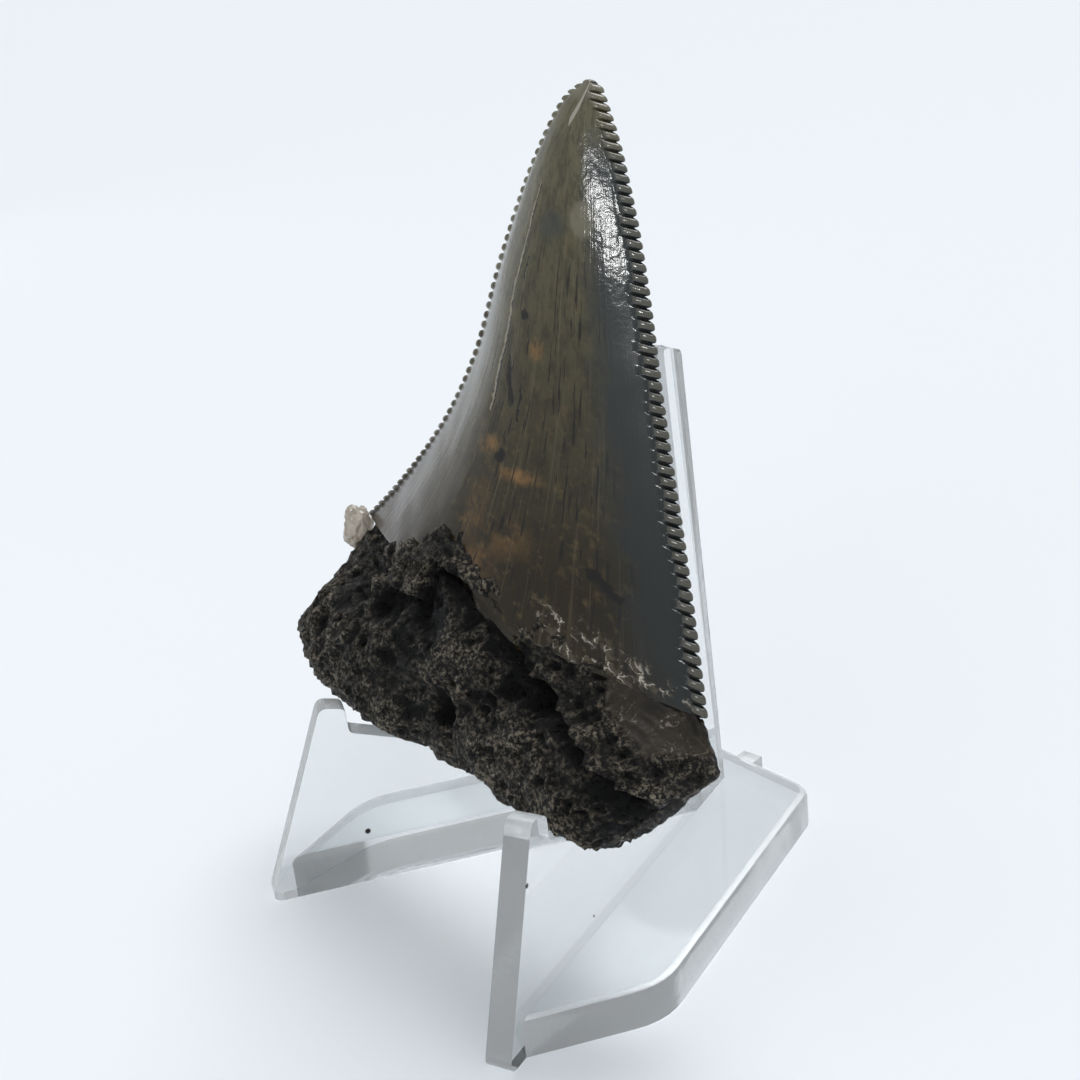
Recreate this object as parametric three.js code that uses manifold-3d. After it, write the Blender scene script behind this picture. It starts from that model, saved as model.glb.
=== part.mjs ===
// A fossil shark tooth leaning on a clear moulded display stand. Millimetres, +Z up.
// The front of the tooth faces -Y. The origin is on the underside of the stand, below its spine.

import * as THREE from "three";
import * as BufferGeometryUtils from "three/addons/utils/BufferGeometryUtils.js";
import Module from "manifold-3d";

// Stand: two upright wings that meet at a spine, each with a flat flange outside its foot.
// "Along" is measured forwards from the inner corner of the V, "out" sideways from a wing's inner face.
const WING_TURN = THREE.MathUtils.degToRad(22.95);
const WING_THICKNESS = 2.05;
const INNER_CORNER_Y = -2.2;
// Each corner of a wing is along, up and the radius that rounds it.
const REAR_BOTTOM = [0, 0, 0];
const FOOT_FRONT = [37.4, 0, 1.1];
const HOOK_TOP = [31.1, 16.2, 0.7];
const HOOK_BACK = [29.1, 15.7, 0.5];
const SEAT_FRONT = [29.1, 13.6, 0.4];
const SEAT_BACK = [19.9, 10.35, 1.0];
const BACKREST_TOP = [6.45, 42.35, 0.5];
const REAR_TOP = [2.67, 40.9, 0.4];
const FLANGE_THICKNESS = 3.0;
const FLANGE_BEVEL = 0.6;
// The flange starts inside the wing, between these two places along it.
const FLANGE_ROOT_ALONG = [4, 34];
const FLANGE_ROOT_OUT = 1;
const FLANGE_FRONT = [35.2, 2.05];
const FLANGE_BEND = [28.0, 9.44];
const FLANGE_BEND_RADIUS = 2.4;
const FLANGE_REAR = [8.5, 4.3];
const FLANGE_REAR_RADIUS = 1.6;
const SPINE_HALF_WIDTH = 1.9;
const SPINE_DEPTH = 2.2;
const SPINE_TOP_RISE = 0.4;
const SPINE_RADIUS = 0.4;
const GATE_SIZE = [1.9, 1.3, 1.5];
const GATE_PLACE = [0.9, 4.5, 2.2];
const GATE_TURN = 0.12;

// Tooth, in its own frame: u across, v up the tooth, w out of its front.
const TOOTH_LEAN = THREE.MathUtils.degToRad(21);
const TOOTH_PLACE = [0, -20, 14];
const SERRATIONS = 54;
const ROWS_PER_SERRATION = 2;
const SERRATION_DEPTH = 0.34;
// Each serration is the end of a short raised bar that runs in from the edge.
const BEAD_LENGTH = 1.15;
const BEAD_MIDDLE = 0.5;
const BEAD_HEIGHT = 0.17;
const GROOVE_DEPTH = 0.12;
const BEAD_WIDTH_SHARE = 0.3;
const LEFT_EDGE = [
  [-23.0, 12.9], [-19.6, 16.3], [-14.8, 22.6], [-12.4, 28.3], [-11.3, 36.0], [-9.4, 43.6], [-7.1, 48.4],
  [-5.4, 49.6],
];
const RIGHT_EDGE = [[20.2, 8.2], [15.9, 16.9], [10.6, 26.9], [4.6, 38.5], [0.2, 45.4], [-3.2, 49.6]];
const TIP_HEIGHT = 0.3;
// The crown's section is a lens that bulges less as the crown narrows.
const FRONT_BULGE = 6.4;
const FRONT_BULGE_WIDTH = 23;
const BACK_BULGE = 2.6;
const BACK_BULGE_WIDTH = 12;
const LENS_SHOULDER = 0.12;
const EDGE_HALF_THICKNESS = 0.05;
const FRONT_COLUMNS = 6;
const BACK_COLUMNS = 4;
// At its foot the crown's surface rises to stay just under the edge of the root.
const BASE_FADE = 4;
const BASE_RISE_BACK = 0.8;
const BASE_TUCK = 2.2;
const CROWN_CORE = [-1.4, 5, 1.2];

// Root: a lumpy bar from the left lobe to the right one.
const ROOT_LEFT = -27.6;
const ROOT_RIGHT = 22.3;
const ROOT_STATIONS = 48;
const ROOT_ROUND = 28;
const ROOT_MID_DEPTH = 1.7;
const ROOT_FRONT_DEPTH = 6.1;
const ROOT_BACK_DEPTH = -2.5;
const ROOT_BOTTOM = [
  [-27.6, 3.4], [-25.6, 2.3], [-22.5, 0.3], [-19.8, -1.5], [-16.5, -2.3], [0, -2.1], [8, -2.4], [11.7, -2.6],
  [13.2, -3.3], [15, -3.0], [16.8, -1.5], [18.8, 0.3], [20.6, 2.2], [22.3, 4.0],
];
// The line along which the root's front meets the enamel.
const ENAMEL_LINE = [
  [-27.6, 3.6], [-25.8, 5.8], [-24.2, 7.6], [-22.8, 10.0], [-21.4, 11.6], [-17.5, 11.7], [-13, 12.7], [-9, 13.3],
  [-5.5, 15.7], [-3.3, 15.7], [0, 13.6], [4, 12.4], [9, 11.3], [14, 9.8], [18, 8.5], [20.4, 7.0], [22.3, 5.2],
];
// Towards the enamel the root takes on the crown's depth, stands a step proud of it and then dives under.
const JOIN_START = 0.3;
const JOIN_DIVE = [-0.6, 0.9];
const JOIN_BACK_SHARE = 0.9;
const ROOT_TUCK = 2.0;
const ROOT_STEP = 0.45;
const ROOT_DIVE_DEPTH = 1.35;
const THINNEST_ROOT = 0.5;
// Powers that square off the root's section and its two ends.
const END_TAPER_POWER = 4;
const END_ROUND_POWER = 14;
const UPPER_SECTION_POWER = 0.4;
const LOWER_SECTION_POWER = 0.7;
const HEIGHT_POWER = 0.85;
const TOP_THINNING = 0.6;
const TOP_THINNING_HEIGHT = 6;

// The broken edge of the plate of root that still covers the foot of the crown.
const LEDGE_LINE = [
  [-14, 8.2], [-10.7, 9.3], [-6.2, 9.6], [-4.9, 12.6], [-2.2, 12.1], [2.1, 11.2], [5.2, 9.3], [9.8, 7.4],
  [15.1, 5.8], [19, 4.2],
];
const LEDGE_START = [-13, -8];
const LEDGE_EDGE = [-0.2, 0.5];
const LEDGE_DROP = 1.5;
const LEDGE_REACH = 2.6;
// Each pit is across, up, radius and depth.
const PITS = [[-10.8, 8.0, 1.5, 1.5], [-0.9, 2.7, 1.5, 1.8], [9.4, 6.0, 1.3, 1.6], [6.2, 5.6, 0.9, 1.0]];
const LUMP_SIZE = 4.6;
const LUMP_HEIGHT = 0.62;
const KNOB_SIZE = 2.1;
const KNOB_HEIGHT = 0.36;
const CALM_SHARE = 0.6;
const CALM_HEIGHT = [4.5, 2];
const CHIP_PLACE = [-23.7, 11.7, 0.5];
const CHIP_SIZE = [1.5, 1.8, 1.1];
const CHIP_TURN = 0.4;

// What the root may not pass, so that it stays clear of the stand.
const SEAT_LIMIT = -2.25;
const SEAT_HALF_WIDTH = 12.9;
const SEAT_OVERHANG_SLOPE = 0.6;
const BACK_LIMIT = -2.65;
const HOOK_LIMIT = 5.8;
const HOOK_LEVEL = 0.6;

const ENAMEL_COLOR = 0x544c3d;
const CLEAR_COLOR = 0xe9f0f2;

const { lerp, mapLinear, smoothstep } = THREE.MathUtils;
const wasm = await Module();
wasm.setup();

// Solids

function toSolid(geometry) {
  const bare = geometry.clone();
  bare.deleteAttribute("normal");
  bare.deleteAttribute("uv");
  const merged = BufferGeometryUtils.mergeVertices(bare, 1e-4);
  return new wasm.Manifold(new wasm.Mesh({
    numProp: 3,
    vertProperties: new Float32Array(merged.attributes.position.array),
    triVerts: new Uint32Array(merged.index.array),
  }));
}

function toGeometry(solid) {
  const mesh = solid.getMesh();
  const geometry = new THREE.BufferGeometry();
  geometry.setAttribute("position", new THREE.BufferAttribute(new Float32Array(mesh.vertProperties), 3));
  geometry.setIndex(new THREE.BufferAttribute(new Uint32Array(mesh.triVerts), 1));
  geometry.computeVertexNormals();
  return geometry;
}

function joinAll(geometries) {
  return geometries.map(toSolid).reduce((whole, piece) => whole.add(piece));
}

// Skins a list of closed rings of equal length and closes both ends on a point.
function loft(rings, startPoint, endPoint) {
  const around = rings[0].length;
  const points = [...rings.flat(), startPoint, endPoint];
  const start = points.length - 2;
  const end = points.length - 1;
  const index = [];
  rings.forEach((ring, row) => {
    for (let k = 0; k < around; k += 1) {
      const here = row * around + k;
      const beside = row * around + ((k + 1) % around);
      if (row === 0) index.push(start, beside, here);
      if (row === rings.length - 1) index.push(here, beside, end);
      else index.push(here, beside, beside + around, here, beside + around, here + around);
    }
  });
  const geometry = new THREE.BufferGeometry();
  geometry.setFromPoints(points);
  geometry.setIndex(index);
  return geometry;
}

// Curves and noise

function smoothLine(points) {
  return new THREE.CatmullRomCurve3(points.map(([x, y]) => new THREE.Vector3(x, y, 0)), false, "centripetal");
}

// Height of an open line at one place across it.
function heightAt(line, across) {
  const last = line.length - 1;
  if (across <= line[0][0]) return line[0][1];
  if (across >= line[last][0]) return line[last][1];
  const next = line.findIndex(([x]) => x > across);
  const [x0, y0] = line[next - 1];
  const [x1, y1] = line[next];
  return mapLinear(across, x0, x1, y0, y1);
}

function latticeValue(x, y, z) {
  const wave = Math.sin(x * 12.9898 + y * 78.233 + z * 37.719) * 43758.5453;
  return 2 * (wave - Math.floor(wave)) - 1;
}

// Smooth noise from -1 to 1 with one lump per unit of length.
function noise(x, y, z) {
  const cell = [Math.floor(x), Math.floor(y), Math.floor(z)];
  const ease = [x, y, z].map((value, axis) => smoothstep(value - cell[axis], 0, 1));
  let total = 0;
  for (let corner = 0; corner < 8; corner += 1) {
    const step = [corner & 1, (corner >> 1) & 1, (corner >> 2) & 1];
    const share = step.reduce((product, on, axis) => product * (on ? ease[axis] : 1 - ease[axis]), 1);
    total += share * latticeValue(cell[0] + step[0], cell[1] + step[1], cell[2] + step[2]);
  }
  return total;
}

// Crown

// Distances in from the left edge at which a row of the crown has its points.
function crownColumns(width, middleCount) {
  const bead = Math.min(BEAD_LENGTH, width * BEAD_WIDTH_SHARE);
  const near = [bead * BEAD_MIDDLE, bead];
  const middle = [];
  for (let k = 1; k <= middleCount; k += 1) {
    middle.push(bead + ((width - 2 * bead) * k) / (middleCount + 1));
  }
  return [...near, ...middle, width - near[1], width - near[0]];
}

function beadLift(inset, peak) {
  const fade = 1 - smoothstep(inset, BEAD_LENGTH * BEAD_MIDDLE, BEAD_LENGTH);
  return (peak ? BEAD_HEIGHT : -GROOVE_DEPTH) * fade;
}

// How far the crown's surface stands off its middle plane, a share c of its width in from the left.
function lensDepth(c, width, side) {
  const lens = Math.max(0, 4 * c * (1 - c));
  const bulge = side > 0
    ? FRONT_BULGE * (1 - Math.exp(-width / FRONT_BULGE_WIDTH))
    : BACK_BULGE * (1 - Math.exp(-width / BACK_BULGE_WIDTH));
  return lens * (1 - LENS_SHOULDER * (1 - lens)) * bulge;
}

function baseRise(u, v, c, side) {
  if (side < 0) return BASE_RISE_BACK * 4 * c * (1 - c);
  return Math.max(0, heightAt(ENAMEL_LINE, u) - BASE_TUCK - v);
}

function crownRow(left, right, share, peak) {
  const across = new THREE.Vector2(right.x - left.x, right.y - left.y);
  const width = across.length();
  const reach = peak ? 0 : -SERRATION_DEPTH;
  const baseShare = (1 - share) ** BASE_FADE;
  const place = (inset, side) => {
    const c = inset / width;
    const u = left.x + across.x * c;
    const v = left.y + across.y * c;
    const depth = lensDepth(c, width, side) + beadLift(Math.min(inset, width - inset), peak);
    const rise = baseRise(u, v, c, side) * baseShare;
    return new THREE.Vector3(u, v + rise, side * Math.max(depth, EDGE_HALF_THICKNESS));
  };
  const edge = (point, sign) => {
    const outward = across.clone().normalize().multiplyScalar(sign * reach);
    return new THREE.Vector3(point.x + outward.x, point.y + outward.y, 0);
  };
  const front = crownColumns(width, FRONT_COLUMNS).map((inset) => place(inset, 1));
  const back = crownColumns(width, BACK_COLUMNS).map((inset) => place(inset, -1));
  return [edge(left, -1), ...front, edge(right, 1), ...back.reverse()];
}

function crownGeometry() {
  const leftEdge = smoothLine(LEFT_EDGE);
  const rightEdge = smoothLine(RIGHT_EDGE);
  const rowCount = SERRATIONS * ROWS_PER_SERRATION;
  const rings = [];
  for (let row = 0; row <= rowCount; row += 1) {
    const share = row / rowCount;
    const peak = row % ROWS_PER_SERRATION === 1;
    rings.push(crownRow(leftEdge.getPointAt(share), rightEdge.getPointAt(share), share, peak));
  }
  const [tipLeft, tipRight] = [LEFT_EDGE.at(-1), RIGHT_EDGE.at(-1)];
  const tip = new THREE.Vector3((tipLeft[0] + tipRight[0]) / 2, tipLeft[1] + TIP_HEIGHT, 0);
  return loft(rings, new THREE.Vector3(...CROWN_CORE), tip);
}

// Root

function signedPower(value, power) {
  return Math.sign(value) * Math.abs(value) ** power;
}

// How far the front of the root lies behind its round form, under the ledge and in the pits.
function rootHollow(u, v) {
  const below = heightAt(LEDGE_LINE, u) - v;
  const underLedge = smoothstep(u, ...LEDGE_START) * smoothstep(below, ...LEDGE_EDGE);
  let hollow = LEDGE_DROP * underLedge * Math.exp(-Math.max(below, 0) / LEDGE_REACH);
  PITS.forEach(([pitU, pitV, radius, depth]) => {
    hollow += depth * Math.exp(-((u - pitU) ** 2 + (v - pitV) ** 2) / radius ** 2);
  });
  return hollow;
}

// Where an edge of the crown lies at a height, held at its lowest point below that.
function edgeAcross(edge, v) {
  const flipped = edge.map(([u, height]) => [height, u]);
  return heightAt(flipped, v);
}

// Depth of the root's surface: its own round form low down, and the crown's surface near the enamel.
function rootDepth(u, v, side, taper) {
  const left = edgeAcross(LEFT_EDGE, v);
  const right = edgeAcross(RIGHT_EDGE, v);
  const crown = lensDepth((u - left) / (right - left), right - left, side);
  const line = heightAt(ENAMEL_LINE, u);
  const joining = smoothstep(v, line * JOIN_START, line);
  const outer = side > 0 ? ROOT_FRONT_DEPTH : ROOT_BACK_DEPTH;
  const own = lerp(ROOT_MID_DEPTH, outer, taper);
  const dive = ROOT_DIVE_DEPTH * smoothstep(v, line + JOIN_DIVE[0], line + JOIN_DIVE[1]);
  const joined = side > 0 ? crown + ROOT_STEP - dive : -crown * JOIN_BACK_SHARE;
  return lerp(own, joined, joining);
}

function keepClearOfStand(point) {
  const overSeat = SEAT_HALF_WIDTH + Math.tan(WING_TURN) * Math.cos(TOOTH_LEAN) * point.z;
  const beyondSeat = Math.max(0, Math.abs(point.x) - overSeat);
  point.y = Math.max(point.y, SEAT_LIMIT - beyondSeat * SEAT_OVERHANG_SLOPE);
  point.z = Math.max(point.z, BACK_LIMIT);
  if (point.y < HOOK_LEVEL) point.z = Math.min(point.z, HOOK_LIMIT);
  return point;
}

function rootPoint(along, turn) {
  const u = lerp(ROOT_LEFT, ROOT_RIGHT, along);
  const fromMiddle = Math.abs(2 * along - 1);
  const taper = Math.sqrt(1 - fromMiddle ** END_TAPER_POWER);
  const endRound = Math.sqrt(1 - fromMiddle ** END_ROUND_POWER);
  const bottom = heightAt(ROOT_BOTTOM, u);
  const top = heightAt(ENAMEL_LINE, u) + ROOT_TUCK;
  const out = Math.abs(Math.cos(turn)) ** (Math.sin(turn) > 0 ? UPPER_SECTION_POWER : LOWER_SECTION_POWER);
  const up = signedPower(Math.sin(turn), HEIGHT_POWER);
  const side = Math.cos(turn) > 0 ? 1 : -1;
  const v = (bottom + top) / 2 + ((top - bottom) / 2) * endRound * up;
  const middle = ROOT_MID_DEPTH * (1 - TOP_THINNING * smoothstep(v, top - TOP_THINNING_HEIGHT, top));
  const halfDepth = Math.max(THINNEST_ROOT, side * (rootDepth(u, v, side, taper) - middle));
  const w = middle + side * halfDepth * out;
  const calm = 1 - CALM_SHARE * smoothstep(v, top - CALM_HEIGHT[0], top - CALM_HEIGHT[1]);
  const lump = calm * (LUMP_HEIGHT * noise(u / LUMP_SIZE, v / LUMP_SIZE, w / LUMP_SIZE)
    + KNOB_HEIGHT * noise(u / KNOB_SIZE, v / KNOB_SIZE, w / KNOB_SIZE));
  const hollow = side > 0 ? rootHollow(u, v) * smoothstep(out, 0, 0.5) : 0;
  return keepClearOfStand(new THREE.Vector3(
    u,
    v + lump * Math.sin(turn),
    w + lump * Math.cos(turn) - hollow,
  ));
}

function rootGeometry() {
  const rings = [];
  for (let station = 1; station < ROOT_STATIONS; station += 1) {
    const ring = [];
    for (let k = 0; k < ROOT_ROUND; k += 1) {
      ring.push(rootPoint(station / ROOT_STATIONS, (-2 * Math.PI * k) / ROOT_ROUND));
    }
    rings.push(ring);
  }
  return loft(rings, rootPoint(0, 0), rootPoint(1, 0));
}

// The broken corner of enamel that stands beside the left end of the crown.
function cornerChipGeometry() {
  const chip = new THREE.IcosahedronGeometry(1, 1);
  chip.scale(...CHIP_SIZE);
  chip.rotateZ(CHIP_TURN);
  chip.translate(...CHIP_PLACE);
  return chip;
}

function makeTooth() {
  const solid = joinAll([crownGeometry(), rootGeometry(), cornerChipGeometry()]);
  const geometry = toGeometry(solid);
  // The tooth's frame (u, v, w) is turned so that v points up and w points forwards.
  geometry.rotateX(Math.PI / 2);
  const material = new THREE.MeshStandardMaterial({ color: ENAMEL_COLOR, roughness: 0.35, metalness: 0 });
  const tooth = new THREE.Mesh(geometry, material);
  tooth.name = "tooth";
  tooth.position.set(...TOOTH_PLACE);
  tooth.rotation.x = -TOOTH_LEAN;
  return tooth;
}

// Stand

function onRightWing(along, out) {
  return [
    along * Math.sin(WING_TURN) + out * Math.cos(WING_TURN),
    -along * Math.cos(WING_TURN) + out * Math.sin(WING_TURN),
  ];
}

// A closed outline through corners given as x, y and corner radius.
function roundedShape(corners) {
  const shape = new THREE.Shape();
  corners.forEach(([x, y, radius], k) => {
    const corner = new THREE.Vector2(x, y);
    const before = new THREE.Vector2(...corners.at(k - 1).slice(0, 2));
    const after = new THREE.Vector2(...corners[(k + 1) % corners.length].slice(0, 2));
    const into = corner.clone().add(before.sub(corner).setLength(radius));
    const outOf = corner.clone().add(after.sub(corner).setLength(radius));
    if (k === 0) shape.moveTo(into.x, into.y);
    else shape.lineTo(into.x, into.y);
    if (radius > 0) shape.quadraticCurveTo(x, y, outOf.x, outOf.y);
  });
  shape.closePath();
  return shape;
}

// One upright wing. The side is 1 for the wing on +X and -1 for the other.
function wingGeometry(side) {
  const outline = roundedShape([
    REAR_BOTTOM, FOOT_FRONT, HOOK_TOP, HOOK_BACK, SEAT_FRONT, SEAT_BACK, BACKREST_TOP, REAR_TOP,
  ]);
  const wing = new THREE.ExtrudeGeometry(outline, {
    depth: WING_THICKNESS,
    bevelEnabled: false,
    curveSegments: 5,
  });
  const forwards = new THREE.Vector3(side * Math.sin(WING_TURN), -Math.cos(WING_TURN), 0);
  const upwards = new THREE.Vector3(0, 0, 1);
  const sideways = forwards.clone().cross(upwards);
  wing.applyMatrix4(new THREE.Matrix4().makeBasis(forwards, upwards, sideways));
  if (side > 0) wing.translate(WING_THICKNESS * Math.cos(WING_TURN), WING_THICKNESS * Math.sin(WING_TURN), 0);
  return wing;
}

// Both flanges and the floor behind the spine, with a rounded upper rim.
function flangeSolid() {
  const rightHalf = [
    [...onRightWing(FLANGE_ROOT_ALONG[0], FLANGE_ROOT_OUT), 0],
    [...onRightWing(FLANGE_ROOT_ALONG[1], FLANGE_ROOT_OUT), 0],
    [...onRightWing(...FLANGE_FRONT), 0],
    [...onRightWing(...FLANGE_BEND), FLANGE_BEND_RADIUS],
    [...FLANGE_REAR, FLANGE_REAR_RADIUS],
  ];
  const leftHalf = rightHalf.map(([x, y, radius]) => [-x, y, radius]).reverse();
  const slab = new THREE.ExtrudeGeometry(roundedShape([[0, 0, 0], ...rightHalf, ...leftHalf]), {
    depth: FLANGE_THICKNESS,
    bevelThickness: FLANGE_BEVEL,
    bevelSize: FLANGE_BEVEL,
    bevelOffset: -FLANGE_BEVEL,
    bevelSegments: 2,
    curveSegments: 5,
  });
  slab.translate(0, 0, -FLANGE_BEVEL);
  slab.computeBoundingBox();
  // The bevel under the floor is cut away, which leaves the underside flat.
  const span = slab.boundingBox.getSize(new THREE.Vector3());
  const middle = slab.boundingBox.getCenter(new THREE.Vector3());
  const room = new THREE.BoxGeometry(span.x + 2, span.y + 2, FLANGE_THICKNESS * 2);
  room.translate(middle.x, middle.y, FLANGE_THICKNESS);
  return toSolid(slab).intersect(toSolid(room));
}

// The web that joins the wings at the back, leaning with their rear edges.
function spineGeometry() {
  const rear = (along) => -along * Math.cos(WING_TURN) + WING_THICKNESS * Math.sin(WING_TURN);
  const [topAlong, topHeight] = REAR_TOP;
  const side = roundedShape([
    [rear(0), 0, 0],
    [rear(topAlong), topHeight, SPINE_RADIUS],
    [rear(topAlong) - SPINE_DEPTH, topHeight + SPINE_TOP_RISE, SPINE_RADIUS],
    [rear(0) - SPINE_DEPTH, 0, 0],
  ]);
  const spine = new THREE.ExtrudeGeometry(side, {
    depth: 2 * SPINE_HALF_WIDTH,
    bevelEnabled: false,
    curveSegments: 4,
  });
  const depthAxis = new THREE.Vector3(0, 1, 0);
  const upAxis = new THREE.Vector3(0, 0, 1);
  const acrossAxis = new THREE.Vector3(1, 0, 0);
  spine.applyMatrix4(new THREE.Matrix4().makeBasis(depthAxis, upAxis, acrossAxis));
  spine.translate(-SPINE_HALF_WIDTH, 0, 0);
  return spine;
}

// The stub that is left on the back edge where the plastic ran into the mould.
function gateGeometry() {
  const gate = new THREE.BoxGeometry(...GATE_SIZE);
  gate.rotateZ(GATE_TURN);
  gate.translate(...GATE_PLACE);
  return gate;
}

function makeStand() {
  const upright = joinAll([wingGeometry(1), wingGeometry(-1), spineGeometry(), gateGeometry()]);
  const solid = upright.add(flangeSolid());
  const material = new THREE.MeshStandardMaterial({
    color: CLEAR_COLOR,
    roughness: 0.08,
    metalness: 0,
    transparent: true,
    opacity: 0.3,
  });
  const stand = new THREE.Mesh(toGeometry(solid), material);
  stand.name = "stand";
  return stand;
}

const display = new THREE.Group();
display.add(makeStand(), makeTooth());
display.position.y = INNER_CORNER_Y;

export default display;
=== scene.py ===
"""Fossil shark tooth on a clear moulded display stand.

Sizes in the code are in millimetres and are turned to metres when a mesh is written.
The tooth has a frame of its own: u across, v up the tooth, w out of its front.
"""

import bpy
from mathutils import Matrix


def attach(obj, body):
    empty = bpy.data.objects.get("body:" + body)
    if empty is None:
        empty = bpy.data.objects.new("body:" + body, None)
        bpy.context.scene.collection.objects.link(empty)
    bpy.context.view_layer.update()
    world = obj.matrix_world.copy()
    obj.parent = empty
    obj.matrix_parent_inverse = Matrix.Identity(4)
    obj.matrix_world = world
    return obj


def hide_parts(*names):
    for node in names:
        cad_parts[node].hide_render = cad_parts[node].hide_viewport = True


bl_info = {
    "name": "Fossil Tooth on a Stand",
    "version": (1, 0, 0),
    "blender": (4, 5, 0),
    "location": "View3D > Sidebar > Fossil Tooth",
    "description": "Builds a fossil shark tooth, its clear display stand and a plain stage",
    "category": "Add Mesh",
}

import math

import bpy
import numpy as np
from bpy.props import FloatProperty, FloatVectorProperty, IntProperty, PointerProperty
from mathutils import Matrix, Vector

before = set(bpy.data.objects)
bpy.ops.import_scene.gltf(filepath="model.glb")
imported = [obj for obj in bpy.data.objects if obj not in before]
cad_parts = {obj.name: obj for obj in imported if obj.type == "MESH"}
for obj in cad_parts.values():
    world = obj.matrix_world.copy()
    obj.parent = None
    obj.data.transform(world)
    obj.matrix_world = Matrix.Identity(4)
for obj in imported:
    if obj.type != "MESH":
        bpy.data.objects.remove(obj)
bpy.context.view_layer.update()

MM = 0.001
BODY = "root"

# Tooth, as in the part's own source.
TOOTH_PLACE = np.array([0.0, -22.2, 14.0])
LEFT_EDGE = [
    (-23.0, 12.9), (-19.6, 16.3), (-14.8, 22.6), (-12.4, 28.3), (-11.3, 36.0), (-9.4, 43.6), (-7.1, 48.4),
    (-5.4, 49.6),
]
RIGHT_EDGE = [(20.2, 8.2), (15.9, 16.9), (10.6, 26.9), (4.6, 38.5), (0.2, 45.4), (-3.2, 49.6)]
TIP_HEIGHT = 0.3
FRONT_BULGE = (6.4, 23)
BACK_BULGE = (2.6, 12)
LENS_SHOULDER = 0.12
EDGE_HALF_THICKNESS = 0.05
BASE_FADE = 4
BASE_RISE_BACK = 0.8
BASE_TUCK = 2.2
CROWN_CORE = (-1.4, 5.0, 1.2)
ROOT_ENDS = (-27.6, 22.3)
ROOT_DEPTHS = {"front": 6.1, "middle": 1.7, "back": -2.5}
ROOT_BOTTOM = [
    (-27.6, 3.4), (-25.6, 2.3), (-22.5, 0.3), (-19.8, -1.5), (-16.5, -2.3), (0, -2.1), (8, -2.4),
    (11.7, -2.6), (13.2, -3.3), (15, -3.0), (16.8, -1.5), (18.8, 0.3), (20.6, 2.2), (22.3, 4.0),
]
ENAMEL_LINE = [
    (-27.6, 3.6), (-25.8, 5.8), (-24.2, 7.6), (-22.8, 10.0), (-21.4, 11.6), (-17.5, 11.7), (-13, 12.7),
    (-9, 13.3), (-5.5, 15.7), (-3.3, 15.7), (0, 13.6), (4, 12.4), (9, 11.3), (14, 9.8), (18, 8.5),
    (20.4, 7.0), (22.3, 5.2),
]
JOIN_START = 0.3
JOIN_DIVE = (-0.6, 0.9)
JOIN_BACK_SHARE = 0.9
ROOT_TUCK = 2.0
TUCK_FADE = ((-22.6, -18.6), (14.5, 18))
ROOT_STEP = 0.5
ROOT_STEP_RIGHT = 0.2
ROOT_STEP_FALL = (1, 6)
ROOT_DIVE_DEPTH = 1.35
THINNEST_ROOT = 0.35
END_TAPER_POWER = 4
END_ROUND_POWER = 14
UPPER_SECTION_POWER = 0.4
LOWER_SECTION_POWER = 0.7
HEIGHT_POWER = 0.85
TOP_THINNING = 0.6
TOP_THINNING_RIGHT = 0.95
THINNING_RISE = (12, 16)
TOP_THINNING_HEIGHT = 6
LEDGE_LINE = [
    (-14, 8.2), (-10.7, 9.3), (-6.2, 9.6), (-4.9, 12.6), (-2.2, 12.1), (2.1, 11.2), (5.2, 9.0), (7.2, 7.6),
    (11.3, 6.0), (14.5, 4.4), (17.7, 2.9),
]
TONGUE_LINE = [
    (11.2, 30), (12.0, 11.5), (13.1, 8.4), (14.5, 6.7), (16.7, 5.5), (19.4, 5.2), (21.0, 5.7), (23.4, 7.7),
]
LEDGE_START = (-13, -8)
LEDGE_FINISH = (17.5, 21)
LEDGE_EDGE = (-0.1, 0.3)
LEDGE_DROP = 2.5
LEDGE_REACH = 1.5
# Each pit is across, up, radius and depth.
PITS = [
    (-10.8, 8.0, 1.5, 1.7), (-0.9, 2.7, 1.5, 2.3), (9.4, 6.0, 1.2, 1.9), (6.2, 5.6, 0.9, 1.1),
    (-15.5, 8.0, 1.3, 1.0), (-4.5, 8.6, 1.9, 1.6), (-19.0, 4.6, 1.1, 0.6),
]
# Lumps by size and height: rounded ones, crags with sharp dips between them, and the finest grain.
COARSE_LUMPS = ((4.6, 0.7), (2.1, 0.46))
CRAGS = ((1.15, 0.31), (0.62, 0.21))
FINE_GRAIN = (0.36, 0.12)
CALM_SHARE = 0.6
CALM_HEIGHT = (4.5, 2)
CHIP_PLACE = (-23.7, 11.7, 0.5)
CHIP_SIZE = (1.5, 1.8, 1.1)
CHIP_TURN = 0.4

# What keeps the root clear of the stand.
WING_TURN = math.radians(22.95)
SEAT_LIMIT = -2.25
SEAT_HALF_WIDTH = 12.9
SEAT_OVERHANG_SLOPE = 0.6
BACK_LIMIT = -2.65
HOOK_LIMIT = 5.8
HOOK_LEVEL = 0.6


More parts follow.
